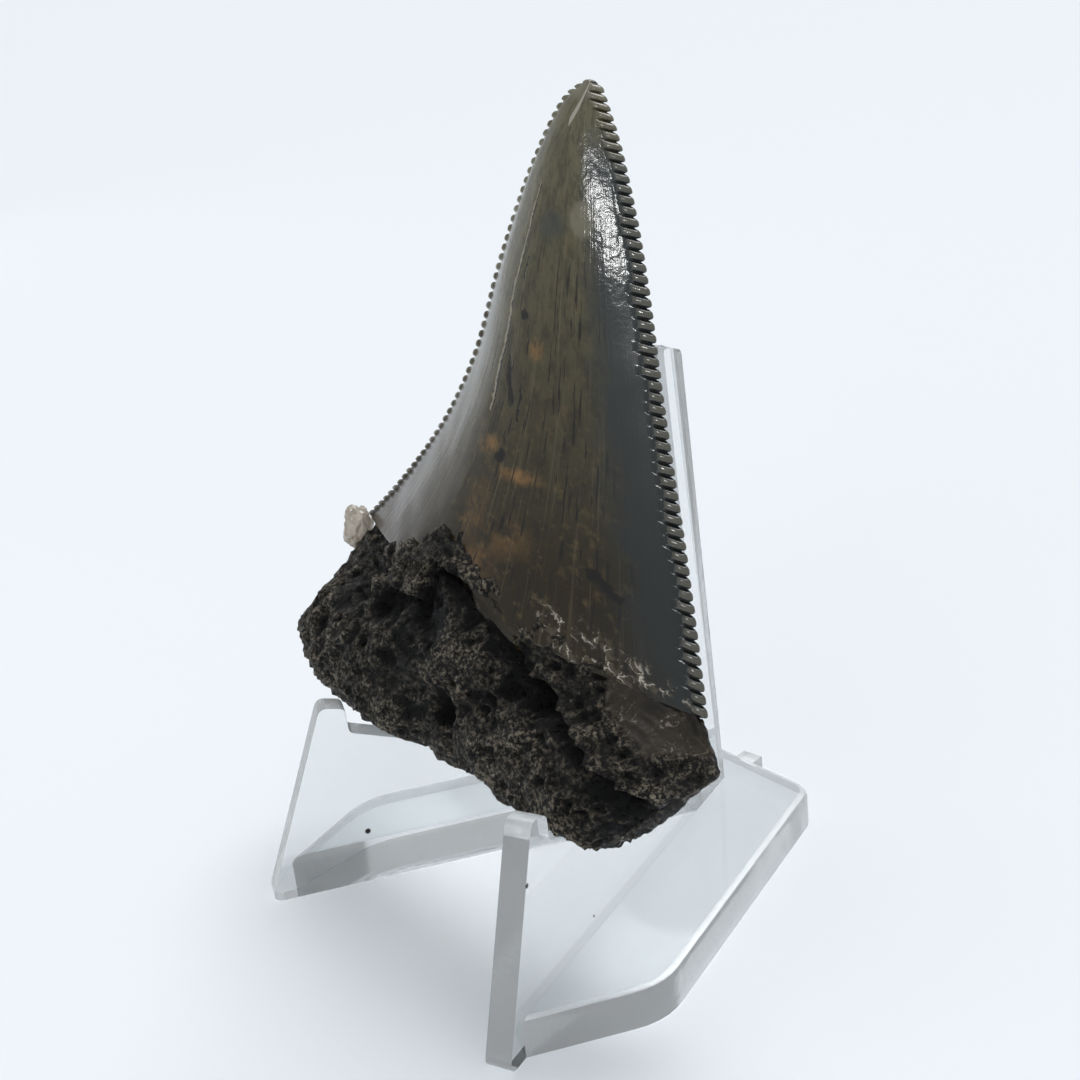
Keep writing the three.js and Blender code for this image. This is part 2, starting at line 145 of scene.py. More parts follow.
class ToothSettings(bpy.types.PropertyGroup):
    lean: FloatProperty(
        name="Lean", description="How far the tooth leans back against the stand",
        default=math.radians(21), subtype="ANGLE", unit="ROTATION")
    serrations: IntProperty(
        name="Serrations", description="Number of serrations along each cutting edge", default=54, min=10)
    serration_depth: FloatProperty(
        name="Serration depth", description="How far a serration stands out past the grooves beside it",
        default=0.48 * MM, subtype="DISTANCE", unit="LENGTH", precision=5)
    bead_length: FloatProperty(
        name="Bar length", description="How far each serration runs in from the edge as a raised bar",
        default=1.15 * MM, subtype="DISTANCE", unit="LENGTH", precision=5)
    enamel_low: FloatVectorProperty(
        name="Low enamel", description="Brown of the crown near the root", subtype="COLOR", size=3,
        default=(0.02, 0.012, 0.001), min=0, max=1)
    enamel_high: FloatVectorProperty(
        name="High enamel", description="Olive of the crown near the tip", subtype="COLOR", size=3,
        default=(0.138, 0.127, 0.07), min=0, max=1)
    # Colour of the painted reflection of the cool surroundings, laid on the right side of the crown.
    slate_reflection: FloatVectorProperty(
        name="Slate enamel", description="Right side of the crown", subtype="COLOR", size=3,
        default=(0.036, 0.043, 0.043), min=0, max=1)
    # Painted shade: the near-black that the deepest hollows of the root are painted.
    root_hollow_shade: FloatVectorProperty(
        name="Root", description="Hollows of the root", subtype="COLOR", size=3,
        default=(0.003, 0.003, 0.003), min=0, max=1)


class StandSettings(bpy.types.PropertyGroup):
    edge_radius: FloatProperty(
        name="Edge radius", description="Rounding of the moulded edges",
        default=0.22 * MM, subtype="DISTANCE", unit="LENGTH", precision=5)


class StageSettings(bpy.types.PropertyGroup):
    floor_size: FloatProperty(
        name="Floor size", description="Side of the square floor",
        default=6.0, subtype="DISTANCE", unit="LENGTH")
    lens: FloatProperty(
        name="Lens", description="Focal length on a 36 mm sensor", default=55.77, unit="CAMERA")


def linear_color(text):
    """Linear red, green, blue and alpha of an sRGB colour such as #4B4232."""
    parts = [int(text[k:k + 2], 16) / 255 for k in (1, 3, 5)]
    return [p / 12.92 if p <= 0.04045 else ((p + 0.055) / 1.055) ** 2.4 for p in parts] + [1.0]


def add_node(tree, kind, settings=None, inputs=None):
    """Adds a shader node. An input is a value, or a socket of another node that is linked to it."""
    node = tree.nodes.new(kind)
    for name, value in (settings or {}).items():
        setattr(node, name, value)
    for name, value in (inputs or {}).items():
        socket = node.inputs[name]
        if isinstance(value, bpy.types.NodeSocket):
            tree.links.new(value, socket)
        else:
            socket.default_value = value
    return node


def new_material(name):
    material = bpy.data.materials.new(name)
    material.use_nodes = True
    tree = material.node_tree
    tree.nodes.clear()
    output = add_node(tree, "ShaderNodeOutputMaterial")
    shader = add_node(tree, "ShaderNodeBsdfPrincipled")
    tree.links.new(shader.outputs["BSDF"], output.inputs["Surface"])
    return material, tree, shader


def remap(tree, value, from_min, from_max, to_min=0.0, to_max=1.0, smooth=False):
    """Carries a value from one range to another and holds it at both ends."""
    settings = {"interpolation_type": "SMOOTHSTEP"} if smooth else None
    return add_node(tree, "ShaderNodeMapRange", settings, {
        "Value": value, "From Min": from_min, "From Max": from_max, "To Min": to_min, "To Max": to_max,
    }).outputs["Result"]


def calculate(tree, operation, *values, clamp=False):
    settings = {"operation": operation, "use_clamp": clamp}
    return add_node(tree, "ShaderNodeMath", settings, dict(enumerate(values))).outputs[0]


def vector_math(tree, operation, *values):
    return add_node(tree, "ShaderNodeVectorMath", {"operation": operation}, dict(enumerate(values))).outputs


def noise_texture(tree, place, size, detail, roughness=0.5):
    """Noise with lumps of the given size, in the unit of the place that it is given."""
    return add_node(tree, "ShaderNodeTexNoise", None, {
        "Vector": place, "Scale": 1 / size, "Detail": detail, "Roughness": roughness}).outputs


def cell_edges(tree, place, size, widest, thinnest):
    """1 along the borders of irregular cells, 0 inside them."""
    cells = add_node(tree, "ShaderNodeTexVoronoi", {"feature": "DISTANCE_TO_EDGE"}, {
        "Vector": place, "Scale": 1 / size})
    return remap(tree, cells.outputs["Distance"], widest, thinnest)


def stretched(tree, place, sizes):
    """Coordinates in which a noise of size 1 is drawn out to the given sizes."""
    return add_node(tree, "ShaderNodeMapping", None, {
        "Vector": place, "Scale": tuple(1 / size for size in sizes)}).outputs["Vector"]


def object_place_in_mm(tree):
    place = add_node(tree, "ShaderNodeTexCoord").outputs["Object"]
    return stretched(tree, place, (MM, MM, MM))


def stored_value(tree, name, output="Fac"):
    return add_node(tree, "ShaderNodeAttribute", {"attribute_name": name}).outputs[output]


def relief(tree, height, strength, depth, under=None, invert=False):
    """The normal of a relief of the given depth in millimetres, laid over another one."""
    inputs = {"Height": height, "Strength": strength, "Distance": depth * MM}
    if under is not None:
        inputs["Normal"] = under
    return add_node(tree, "ShaderNodeBump", {"invert": invert}, inputs).outputs["Normal"]


def tint(tree, color, share, new_color, strength=1.0):
    """Lays a colour over another where the share is high."""
    amount = calculate(tree, "MULTIPLY", share, strength)
    return add_node(tree, "ShaderNodeMix", {"data_type": "RGBA"}, {
        "Factor": amount, "A": color, "B": new_color}).outputs["Result"]


def tint_all(tree, color, layers):
    """Lays colours over one another, each with its share and its strength."""
    for share, text, strength in layers:
        color = tint(tree, color, share, linear_color(text), strength)
    return color


def all_of(tree, *shares):
    total = shares[0]
    for share in shares[1:]:
        total = calculate(tree, "MULTIPLY", total, share)
    return total


def spot(tree, place, centre, size, soft=0.5):
    """A soft-edged oval mark, 1 at its centre and 0 outside."""
    from_centre = vector_math(tree, "SUBTRACT", place, (*centre, 0)[:3])["Vector"]
    scaled = vector_math(tree, "DIVIDE", from_centre, (*size, 1)[:3])["Vector"]
    return remap(tree, vector_math(tree, "LENGTH", scaled)["Value"], 1.0, 1 - soft, smooth=True)


def crack(tree, place, points, half_width):
    """A thin mark along a broken line, 1 on the line and 0 outside it."""
    nearest = None
    for start, end in zip(points, points[1:]):
        along = np.subtract(end, start)
        from_start = vector_math(tree, "SUBTRACT", place, (*start, 0))["Vector"]
        share = vector_math(tree, "DOT_PRODUCT", from_start, (*along / (along @ along), 0))["Value"]
        kept = calculate(tree, "ADD", share, 0.0, clamp=True)
        foot = add_node(tree, "ShaderNodeVectorMath", {"operation": "SCALE"}, {
            0: (*along, 0), "Scale": kept}).outputs["Vector"]
        gap = vector_math(tree, "DISTANCE", from_start, foot)["Value"]
        nearest = gap if nearest is None else calculate(tree, "MINIMUM", nearest, gap)
    return remap(tree, nearest, half_width, half_width * 0.4, smooth=True)


def smoothstep(value, low, high):
    t = np.clip((value - low) / (high - low), 0, 1)
    return t * t * (3 - 2 * t)


def height_at(line, across):
    """Height of an open line at each place across it."""
    places, heights = zip(*line)
    return np.interp(across, places, heights)


def lattice_value(x, y, z):
    wave = np.sin(x * 12.9898 + y * 78.233 + z * 37.719) * 43758.5453
    return 2 * (wave - np.floor(wave)) - 1


def noise(x, y, z):
    """Smooth noise from -1 to 1 with one lump per unit of length."""
    x, y, z = np.broadcast_arrays(x, y, z)
    cell = [np.floor(value) for value in (x, y, z)]
    ease = [smoothstep(value - low, 0, 1) for value, low in zip((x, y, z), cell)]
    total = np.zeros(x.shape)
    for corner in range(8):
        step = [(corner >> axis) & 1 for axis in range(3)]
        share = np.prod([e if on else 1 - e for e, on in zip(ease, step)], axis=0)
        total += share * lattice_value(*(low + on for low, on in zip(cell, step)))
    return total


def smooth_line(points, shares):
    """Places at equal steps of length along a centripetal Catmull-Rom curve."""
    knots = np.array(points, float)
    knots = np.vstack([2 * knots[0] - knots[1], knots, 2 * knots[-1] - knots[-2]])
    t = np.linspace(0, 1, 200, endpoint=False)[:, None]
    pieces = []
    for p0, p1, p2, p3 in zip(knots, knots[1:], knots[2:], knots[3:]):
        d0, d1, d2 = (np.linalg.norm(b - a) ** 0.5 for a, b in ((p0, p1), (p1, p2), (p2, p3)))
        start = ((p1 - p0) / d0 - (p2 - p0) / (d0 + d1) + (p2 - p1) / d1) * d1
        end = ((p2 - p1) / d1 - (p3 - p1) / (d1 + d2) + (p3 - p2) / d2) * d1
        turn = (3 * (p2 - p1) - 2 * start - end) * t ** 2 + (2 * (p1 - p2) + start + end) * t ** 3
        pieces.append(p1 + start * t + turn)
    curve = np.vstack(pieces + [knots[-2:-1]])
    length = np.r_[0, np.cumsum(np.linalg.norm(np.diff(curve, axis=0), axis=1))]
    return np.column_stack([np.interp(shares * length[-1], length, curve[:, axis]) for axis in (0, 1)])


def to_world(tooth, lean):
    """Places in the tooth's frame, turned and moved to where it rests on the stand."""
    u, v, w = tooth.T
    leaning = np.column_stack([
        u, v * math.sin(lean) - w * math.cos(lean), v * math.cos(lean) + w * math.sin(lean)])
    return (leaning + TOOTH_PLACE) * MM


def clear_selection():
    if bpy.context.object and bpy.context.object.mode != "OBJECT":
        bpy.ops.object.mode_set(mode="OBJECT")
    bpy.ops.object.select_all(action="DESELECT")


def start_ball(name, rings, columns):
    """A ball with a pole at each end, and the ring and column of each of its vertices."""
    clear_selection()
    bpy.ops.mesh.primitive_uv_sphere_add(segments=columns, ring_count=rings + 1, radius=1, location=(0, 0, 0))
    piece = bpy.context.object
    piece.name = piece.data.name = name
    places = get_places(piece)
    fall = np.arctan2(np.hypot(places[:, 0], places[:, 1]), -places[:, 2])
    ring = np.rint(fall / math.pi * (rings + 1)).astype(int)
    column = np.rint(np.arctan2(places[:, 1], places[:, 0]) / (2 * math.pi) * columns).astype(int) % columns
    return piece, ring, column


def get_places(piece):
    places = np.empty(len(piece.data.vertices) * 3, np.float32)
    piece.data.vertices.foreach_get("co", places)
    return places.reshape(-1, 3).astype(float)


def set_places(piece, places):
    piece.data.vertices.foreach_set("co", places.astype(np.float32).ravel())
    piece.data.update()


def set_value(piece, name, kind, values):
    """Stores a value for each vertex under a name that the material reads."""
    attribute = piece.data.attributes.new(name, kind, "POINT")
    key = "vector" if kind == "FLOAT_VECTOR" else "value"
    attribute.data.foreach_set(key, values.astype(np.float32).ravel())


def shape_ball(ball, rings, bottom, top):
    """Picks each vertex's place out of a grid of rings, and puts the poles on two points."""
    piece, ring, column = ball
    count = rings.shape[0]
    places = rings[np.clip(ring, 1, count) - 1, column]
    places[ring == 0] = bottom
    places[ring == count + 1] = top
    return places


def finish_piece(piece, material, slot, *nodes):
    piece.data.materials.clear()
    piece.data.materials.append(material)
    clear_selection()
    piece.select_set(True)
    bpy.context.view_layer.objects.active = piece
    bpy.ops.object.shade_smooth()
    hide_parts(*nodes)
    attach(piece, BODY)
    clear_selection()


# Crown

ROWS_PER_SERRATION = 12
TIP_ROWS = 5
NEAR_EDGE = np.array([0.05, 0.16, 0.32, 0.5, 0.7, 0.88, 1.0])
FRONT_COLUMNS = 72
BACK_COLUMNS = 30
BAR_ROUNDING = (3, 1.35)
BAR_OVERHANG = 0.08
BAR_HEIGHT = 0.24
GROOVE_DEPTH = 0.16
SERRATION_SPREAD = 0.22
LONGEST_BAR_SHARE = 0.3
EDGE_ROUNDING = 0.25


def lens_depth(c, width, side):
    """How far the crown's surface stands off its middle plane, a share c of its width in from the left."""
    lens = np.maximum(0, 4 * c * (1 - c))
    bulge, reach = FRONT_BULGE if side > 0 else BACK_BULGE
    return lens * (1 - LENS_SHOULDER * (1 - lens)) * bulge * (1 - np.exp(-width / reach))


def crown_insets(width, bead, middle_count):
    """Distances in from the left edge of each row's points, close together where the serrations are."""
    near = bead[:, None] * NEAR_EDGE
    share = np.arange(1, middle_count + 1) / (middle_count + 1)
    middle = bead[:, None] + (width - 2 * bead)[:, None] * share
    return np.hstack([near, middle, width[:, None] - near[:, ::-1]])


def crown_rings(settings):
    """The crown's rings from its foot to its tip, and the values that its material reads."""
    count = settings.serrations * ROWS_PER_SERRATION
    shares = np.arange(count + 1) / count
    left = smooth_line(LEFT_EDGE, shares)
    right = smooth_line(RIGHT_EDGE, shares)
    tooth_number = np.floor(shares * settings.serrations)
    phase = shares * settings.serrations - tooth_number
    # 0 in a groove and 1 on a bar.
    bump = np.sqrt(np.clip(1 - np.abs(2 * phase - 1) ** BAR_ROUNDING[0] * BAR_ROUNDING[1], 0, 1))
    vary = 1 + SERRATION_SPREAD * lattice_value(tooth_number, 3.0, 1.0)
    across = right - left
    width = np.linalg.norm(across, axis=1)
    outward = across / width[:, None]
    bead = np.minimum(settings.bead_length / MM * vary, width * LONGEST_BAR_SHARE)
    reach = ((bump - 1) * settings.serration_depth / MM + BAR_OVERHANG) * vary
    base_share = (1 - shares) ** BASE_FADE

    def face(side, middle_count):
        inset = crown_insets(width, bead, middle_count)
        c = inset / width[:, None]
        from_edge = np.minimum(inset, width[:, None] - inset)
        # Near both edges the whole row is pushed in with the groove, so that the outline is notched too.
        pushed = -reach[:, None] * np.clip(1 - from_edge / bead[:, None], 0, 1) * np.where(c < 0.5, 1, -1)
        share = (inset + pushed) / width[:, None]
        u = left[:, :1] + across[:, :1] * share
        v = left[:, 1:] + across[:, 1:] * share
        fade = 1 - smoothstep(from_edge, bead[:, None] * 0.62, bead[:, None])
        lift = ((BAR_HEIGHT + GROOVE_DEPTH) * bump - GROOVE_DEPTH)[:, None] * fade
        lift = lift * np.sqrt(np.clip(from_edge / EDGE_ROUNDING, 0, 1))
        swell = 0.05 * noise(u / 4.3, v / 6.1, side * 5.0) + 0.02 * noise(u / 1.6, v / 2.1, side * 9.0)
        depth = lens_depth(c, width[:, None], side) + lift + swell * (1 - fade)
        if side > 0:
            rise = np.maximum(0, height_at(ENAMEL_LINE, u) - BASE_TUCK - v)
        else:
            rise = BASE_RISE_BACK * 4 * c * (1 - c)
        points = np.stack([
            u, v + rise * base_share[:, None], side * np.maximum(depth, EDGE_HALF_THICKNESS)], axis=2)
        return points, c, fade * (2 * bump - 1)[:, None]

    def edge(points, sign):
        moved = points + outward * (sign * reach)[:, None]
        return np.dstack([moved[:, None, 0], moved[:, None, 1], np.zeros((len(moved), 1))])

    front, front_c, front_bar = face(1, FRONT_COLUMNS)
    back, back_c, back_bar = face(-1, BACK_COLUMNS)
    edge_bar = (2 * bump - 1)[:, None]
    rings = np.concatenate([edge(right, 1), back[:, ::-1], edge(left, -1), front], axis=1)
    # The back counts on from 2, so that the material can tell it from the front.
    c = np.hstack([np.ones_like(edge_bar), back_c[:, ::-1] + 2, np.zeros_like(edge_bar), front_c])
    return rings, c, np.hstack([edge_bar, back_bar[:, ::-1], edge_bar, front_bar])


def crown_tip(last, height):
    """Rings that close the worn tip in a low dome, and its highest point."""
    centre = last.mean(axis=0)
    rings = []
    for k in range(1, TIP_ROWS + 1):
        turn = math.pi / 2 * k / (TIP_ROWS + 1)
        ring = centre + (last - centre) * math.cos(turn)
        ring[:, 1] += height * math.sin(turn)
        rings.append(ring)
    return np.array(rings), centre + np.array([0, height, 0])


# Marks on the enamel lie at a share of the crown's width times this, and at a height in mm.
PATTERN_WIDTH = 40.0
LONG_CRACK = [
    (16.4, 41.6), (16.2, 40.7), (15.5, 38.1), (15.0, 35.6), (14.4, 33.7), (14.8, 30.7), (14.2, 28.3),
    (15.0, 25.0),
]
DARK_CRACKS = [
    ([(16.8, 28.8), (17.6, 27.3), (19.1, 25.7)], 0.5),
    ([(31.6, 15.5), (32.4, 15.3), (33.1, 14.7), (34.0, 14.3)], 0.55),
    ([(12.6, 30.5), (12.2, 27.0)], 0.25), ([(20.5, 27.0), (20.9, 24.6)], 0.25),
    ([(17.4, 36.2), (17.2, 34.4)], 0.25),
]
CROWN_PITS = [((18.8, 32.1), (1.0, 0.5)), ((19.4, 21.7), (1.1, 0.62))]
TAN_SPOTS = [
    ((17.0, 22.4), (3.2, 1.1), 0.6), ((22.8, 20.6), (4.2, 0.8), 0.7), ((22.3, 29.8), (2.0, 1.2), 0.7),
    ((23.2, 16.2), (3.6, 2.2), 0.3), ((18.0, 17.4), (2.6, 3.2), 0.3), ((20.5, 14.0), (2.8, 2.2), 0.4),
]
# A painted highlight along the ridge that runs down from the tip.
TIP_RIDGE_HIGHLIGHT = [(27.5, 49.6), (25.5, 47.9), (22.5, 46.6)]


def make_crown(settings):
    rings, c, bar = crown_rings(settings)
    tip_rings, tip = crown_tip(rings[-1], TIP_HEIGHT)
    rings = np.concatenate([rings, tip_rings])
    c = np.vstack([c, np.repeat(c[-1:], TIP_ROWS, axis=0)])
    bar = np.vstack([bar, np.repeat(bar[-1:], TIP_ROWS, axis=0)])
    ball = start_ball("crown", rings.shape[0], rings.shape[1])
    piece = ball[0]
    places = shape_ball(ball, rings, CROWN_CORE, tip)
    u, v = rings[:, :, 0], rings[:, :, 1]
    pattern = np.dstack([c * PATTERN_WIDTH, v, v - height_at(ENAMEL_LINE, u)])
    set_value(piece, "along_crown", "FLOAT_VECTOR", shape_ball(ball, pattern, (0, 0, 0), pattern[-1, 0]))
    set_value(piece, "bar", "FLOAT", shape_ball(ball, bar[:, :, None], 0, 0))
    set_places(piece, to_world(places, settings.lean))
    finish_piece(piece, enamel_material(settings), "fossil_tooth", "tooth")
    return piece


def enamel_material(settings):
    """Fossil enamel: hard, polished and glassy, so it takes sharp soft-box highlights over a dark mottled
    colour, with fine long drying cracks in the brown part, and a cooler, cleaner slate band to the right that
    is a painted reflection of the cool surroundings in front."""
    material, tree, shader = new_material("fossil_enamel")
    pattern = stored_value(tree, "along_crown", "Vector")
    split = add_node(tree, "ShaderNodeSeparateXYZ", None, {"Vector": pattern}).outputs
    flat = add_node(tree, "ShaderNodeCombineXYZ", None, {"X": split["X"], "Y": split["Y"]}).outputs["Vector"]
    # Marks wander a little off the lines that they are drawn on.
    wobble = noise_texture(tree, pattern, 1.1, 4.0, 0.65)
    wander = (1.6, 1.0, 0)
    moved = vector_math(tree, "MULTIPLY_ADD", wobble["Color"], wander, flat)["Vector"]
    place = vector_math(tree, "SUBTRACT", moved, tuple(x / 2 for x in wander))["Vector"]
    fibre = noise_texture(tree, stretched(tree, pattern, (0.5, 16.0, 60.0)), 1.0, 4.0, 0.6)["Fac"]
    long_crack = crack(tree, place, LONG_CRACK, 0.34)
    dark_marks = [crack(tree, place, line, width) for line, width in DARK_CRACKS]
    dark_marks += [spot(tree, place, centre, size, 0.4) for centre, size in CROWN_PITS]

    color = enamel_ground(tree, settings, pattern, split, place, wobble["Fac"], fibre)
    color = enamel_marks(tree, color, place, flat, long_crack, dark_marks)
    color = enamel_chips(tree, color, place, split, wobble["Fac"])
    bar = stored_value(tree, "bar")
    # Painted shade in the grooves between the serrations, and a painted highlight on the tops of the bars.
    color = tint_all(tree, color, [
        (remap(tree, bar, 0.1, -0.7), "#17110B", 0.9),
        (remap(tree, bar, 0.5, 1.0), "#7A7466", 0.45)])
    tree.links.new(color, shader.inputs["Base Color"])
    tree.links.new(enamel_relief(tree, split["Y"], fibre, [long_crack, *dark_marks]), shader.inputs["Normal"])
    shader.inputs["Roughness"].default_value = 0.165
    shader.inputs["IOR"].default_value = 1.54
    return material


def enamel_ground(tree, settings, pattern, split, place, wobble, fibre):
    """Mottled brown that turns olive towards the tip, with tan stains and streaks, and the slate band of
    painted reflection.
    """
    olive = remap(tree, split["Y"], 14.0, 46.0)
    mottle = noise_texture(tree, pattern, 2.0, 5.0, 0.65)["Fac"]
    color = tint(tree, list(settings.enamel_low) + [1], olive, list(settings.enamel_high) + [1])
    color = tint_all(tree, color, [
        (remap(tree, mottle, 0.56, 0.36), "#1C170F", 0.55),
        (remap(tree, wobble, 0.54, 0.74), "#6B5A38", 0.5)])
    stain_share = remap(tree, mottle, 0.38, 0.58, 0.15, 1.4)
    for centre, size, strength in TAN_SPOTS:
        stain = all_of(tree, spot(tree, place, centre, size, 0.9), stain_share)
        color = tint(tree, color, stain, linear_color("#85633A"), strength)

    # Drying cracks run along the tooth, mostly in the brown part.
    streak = noise_texture(tree, stretched(tree, pattern, (0.42, 3.6, 40.0)), 1.0, 2.0)["Fac"]
    cracked_part = remap(tree, split["Y"], 41.0, 33.0, smooth=True)
    color = tint_all(tree, color, [
        (remap(tree, fibre, 0.56, 0.72), "#8C8068", 0.22),
        (all_of(tree, remap(tree, streak, 0.385, 0.34), cracked_part), "#0E0B08", 0.85)])

    # The slate band, a painted reflection of the cool surroundings in front, keeps to the right third and
    # narrows towards the root, on the back too.
    across = calculate(tree, "MODULO", split["X"], 2 * PATTERN_WIDTH)
    slanted = calculate(tree, "MULTIPLY_ADD", split["Y"], 0.18, across)
    warp = noise_texture(tree, pattern, 5.0, 3.0, 0.6)["Fac"]
    band = remap(tree, calculate(tree, "MULTIPLY_ADD", warp, 5.0, slanted), 37.6, 42.4, smooth=True)
    below_tip = remap(tree, split["Y"], 47.5, 43.0, smooth=True)
    dark_slate_reflection = [x * 0.55 for x in settings.slate_reflection] + [1]
    slate = tint(tree, dark_slate_reflection, olive, list(settings.slate_reflection) + [1])
    return tint(tree, color, all_of(tree, band, below_tip), slate)


def enamel_marks(tree, color, place, flat, long_crack, dark_marks):
    """Marks that are one of a kind: clouds, the long pale crack, dark cracks and pits, the worn tip, and a
    painted highlight along the ridge from the tip.
    """
    dark_side = crack(tree, place, [(x + 0.45, y) for x, y in LONG_CRACK], 0.3)
    return tint_all(tree, color, [
        (spot(tree, place, (22.5, 38.8), (5.2, 1.7), 0.7), "#333A3C", 0.6),
        (spot(tree, place, (29.6, 39.5), (3.2, 1.7), 0.4), "#8F8A76", 0.5),
        (dark_side, "#15110C", 0.8),
        (long_crack, "#A79C86", 0.65),
        *((mark, "#070605", 0.95) for mark in dark_marks),
        (spot(tree, place, (26.0, 50.0), (34.0, 2.3), 0.5), "#7B7766", 0.7),
        # Painted highlight along the ridge from the tip.
        (crack(tree, flat, TIP_RIDGE_HIGHLIGHT, 0.6), "#C9C6B8", 0.6)])


def enamel_chips(tree, color, place, split, wobble):
    """Chipped enamel along the root at the right, which shows pale broken edges."""
    near_root = remap(tree, split["Z"], 1.5, 0.2, smooth=True)
    at_right = remap(tree, split["X"], 26.0, 30.0, smooth=True)
    patchy = remap(tree, wobble, 0.5, 0.6)
    chipped = all_of(tree, near_root, at_right)
    shard_edge = cell_edges(tree, place, 0.9, 0.05, 0.01)
    return tint_all(tree, color, [
        (all_of(tree, chipped, patchy), "#5E5547", 0.6),
        (all_of(tree, chipped, shard_edge, patchy), "#D8D2C4", 0.9)])


def enamel_relief(tree, height, fibre, cracks):
    """Hammered near the tip and smooth below, finely grooved along the tooth, and sunk at the cracks."""
    hammered = noise_texture(tree, object_place_in_mm(tree), 0.9, 3.0, 0.6)["Fac"]
    uneven = remap(tree, height, 30.0, 38.0, 0.15, 1.0, smooth=True)
    normal = relief(tree, hammered, uneven, 0.05)
    normal = relief(tree, fibre, 0.4, 0.04, under=normal)
    sunk = cracks[0]
    for mark in cracks[1:]:
        sunk = calculate(tree, "MAXIMUM", sunk, mark)
    return relief(tree, sunk, 0.4, 0.03, under=normal, invert=True)


# Root

ROOT_RINGS = 370
ROOT_COLUMNS = 236
# Upright flutes in the bone just below the crown's left corner.
FLUTE_WIDTH = 0.9
FLUTE_DEPTH = 0.2
FLUTE_LENGTH = 4
FLUTE_START = (-20.5, -18)
FLUTE_FINISH = (-14, -11.5)
TONGUE_CALM = 0.8


def root_hollow(u, v):
    """How far the front lies behind its round form, under the ledge and in the pits."""
    wander_u = u + 0.35 * noise(u / 1.7, v / 1.7, 7.0) + 0.16 * noise(u / 0.6, v / 0.6, 7.0)
    wander_v = v + 0.35 * noise(u / 1.7, v / 1.7, 13.0) + 0.16 * noise(u / 0.6, v / 0.6, 13.0)
    below = height_at(LEDGE_LINE, wander_u) - wander_v
    beside_ledge = smoothstep(u, *LEDGE_START) * (1 - smoothstep(u, *LEDGE_FINISH))
    under_ledge = beside_ledge * smoothstep(below, *LEDGE_EDGE)
    hollow = LEDGE_DROP * under_ledge * np.exp(-np.maximum(below, 0) / LEDGE_REACH)
    for pit_u, pit_v, radius, depth in PITS:
        away = np.hypot(wander_u - pit_u, wander_v - pit_v) / radius
        hollow = hollow + depth * np.exp(-away ** 3)
    return hollow


def root_depth(u, v, front, taper):
    """Depth of the surface: its own round form low down, and the crown's surface near the enamel."""
    left = np.interp(v, *reversed(np.transpose(LEFT_EDGE)))
    right = np.interp(v, *reversed(np.transpose(RIGHT_EDGE)))
    c = (u - left) / (right - left)
    line = height_at(ENAMEL_LINE, u)
    joining = smoothstep(v, line * JOIN_START, line)
    outer = np.where(front, ROOT_DEPTHS["front"], ROOT_DEPTHS["back"])
    own = ROOT_DEPTHS["middle"] + (outer - ROOT_DEPTHS["middle"]) * taper
    dive = ROOT_DIVE_DEPTH * smoothstep(v, line + JOIN_DIVE[0], line + JOIN_DIVE[1])
    step = ROOT_STEP + (ROOT_STEP_RIGHT - ROOT_STEP) * smoothstep(u, *ROOT_STEP_FALL)
    front_join = lens_depth(c, right - left, 1) + step - dive
    joined = np.where(front, front_join, -lens_depth(c, right - left, -1) * JOIN_BACK_SHARE)
    return own + (joined - own) * joining


def keep_clear_of_stand(u, v, w, lean):
    over_seat = SEAT_HALF_WIDTH + math.tan(WING_TURN) * math.cos(lean) * w
    beyond_seat = np.maximum(0, np.abs(u) - over_seat)
    v = np.maximum(v, SEAT_LIMIT - beyond_seat * SEAT_OVERHANG_SLOPE)
    w = np.maximum(w, BACK_LIMIT)
    w = np.where(v < HOOK_LEVEL, np.minimum(w, HOOK_LIMIT), w)
    return np.stack([u, v, w], axis=-1)


def enamel_tongue(u, v):
    """Where worn enamel still lies over the root, below the right corner of the crown."""
    wander = 0.5 * noise(u / 1.3, v / 1.3, 21.0)
    return smoothstep(v - height_at(TONGUE_LINE, u) + wander, -0.2, 0.5)


